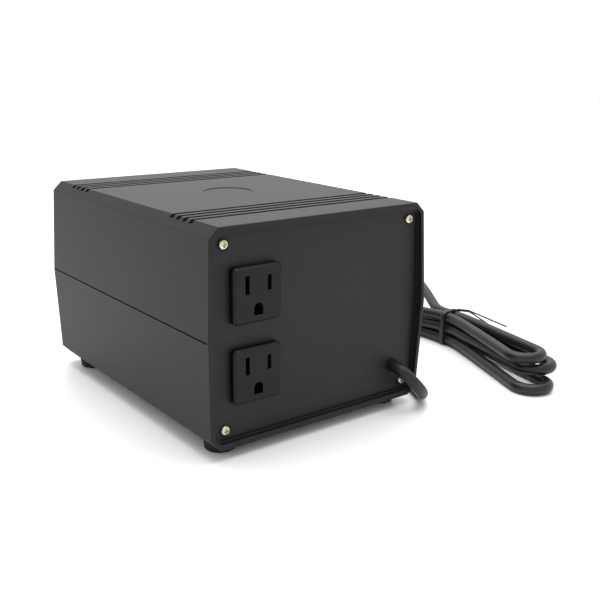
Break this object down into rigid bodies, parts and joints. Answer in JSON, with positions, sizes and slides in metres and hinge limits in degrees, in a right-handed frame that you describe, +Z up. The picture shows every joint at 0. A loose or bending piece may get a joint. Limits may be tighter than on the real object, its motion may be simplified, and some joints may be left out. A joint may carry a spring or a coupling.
{
  "type": "travel voltage converter",
  "caption": "A black step-down voltage converter in a grooved clamshell case, with an outlet panel on one end and its mains lead tied in a hank beside it",
  "frame": {"origin": "on the floor under the middle of the housing", "axes": "+Z up, +Y from the outlet panel to the switch panel, the outlets face -Y"},
  "size_m": [0.3242, 0.33, 0.1155],
  "materials": {
    "housing_plastic": "fine spark texture, moulded",
    "panel_plastic": "fine matt, moulded",
    "device_plastic": "smooth satin, moulded",
    "plated_steel": "yellow zinc plated",
    "foot_rubber": "moulded",
    "cord_sheath": "extruded PVC sheath",
    "tie_plastic": "coated wire",
    "plug_plastic": "moulded",
    "nickel_brass": "nickel plated",
    "contact_brass": "stamped",
    "core_steel": "varnished laminations",
    "bobbin_nylon": "moulded nylon",
    "enamelled_copper": "enamelled",
    "winding_tape": "polyester tape",
    "red_plastic": "moulded",
    "lamp_lens": "amber lens",
    "lamp_glass": "clear tube",
    "wire_brown": "PVC",
    "wire_blue": "PVC",
    "wire_green": "PVC, green and yellow",
    "wire_red": "PVC",
    "wire_white": "PVC"
  },
  "bodies": {
    "base": {"upper_shell": "housing_plastic", "lower_shell": "housing_plastic", "outlet_panel": "panel_plastic", "switch_panel": "panel_plastic", "outlet_body_upper": "device_plastic", "outlet_body_lower": "device_plastic", "outlet_cover_upper": "device_plastic", "outlet_cover_lower": "device_plastic", "switch_frame": "device_plastic", "breaker_body": "device_plastic", "panel_screws": "plated_steel", "shell_screws": "plated_steel", "short_screws": "plated_steel", "clamp_screws": "plated_steel", "core_bolts": "plated_steel", "core_nuts": "plated_steel", "core_brackets": "plated_steel", "breaker_nut": "plated_steel", "terminal_screws": "plated_steel", "lamp_clip": "plated_steel", "rubber_feet": "foot_rubber", "cord_bushing": "foot_rubber", "cord_entry": "cord_sheath", "cord_lead": "cord_sheath", "cord_hank": "cord_sheath", "cord_tail": "cord_sheath", "hank_tie": "tie_plastic", "plug_body": "plug_plastic", "plug_pins": "nickel_brass", "plug_earth_clips": "nickel_brass", "spade_tabs": "nickel_brass", "earth_lug": "nickel_brass", "line_contact_upper": "contact_brass", "line_contact_lower": "contact_brass", "neutral_contact_upper": "contact_brass", "neutral_contact_lower": "contact_brass", "ground_contact_upper": "contact_brass", "ground_contact_lower": "contact_brass", "terminal_sleeves": "contact_brass", "core_e": "core_steel", "core_i": "core_steel", "bobbin": "bobbin_nylon", "terminal_block": "bobbin_nylon", "cord_clamp": "bobbin_nylon", "crimps": "bobbin_nylon", "winding_common": "enamelled_copper", "winding_series": "enamelled_copper", "winding_tape": "winding_tape", "thermal_cutout": "winding_tape", "lamp_lens": "lamp_lens", "lamp_bulb": "lamp_glass", "wires_brown": "wire_brown", "wires_blue": "wire_blue", "wires_green": "wire_green", "wires_red": "wire_red", "winding_leads": "wire_red", "lamp_leads": "wire_white"},
    "rocker": {"power_rocker": "device_plastic"},
    "button": {"reset_button": "red_plastic"}
  },
  "joints": [
    {"name": "power_switch", "type": "hinge", "parent": "base", "child": "rocker", "pos_m": [0.038, 0.0848, 0.0755], "axis": [-1, 0, 0], "range_deg": [0, 20]},
    {"name": "breaker_reset", "type": "slide", "parent": "base", "child": "button", "axis": [0, 1, 0], "range_m": [0, 0.003]}
  ]
}
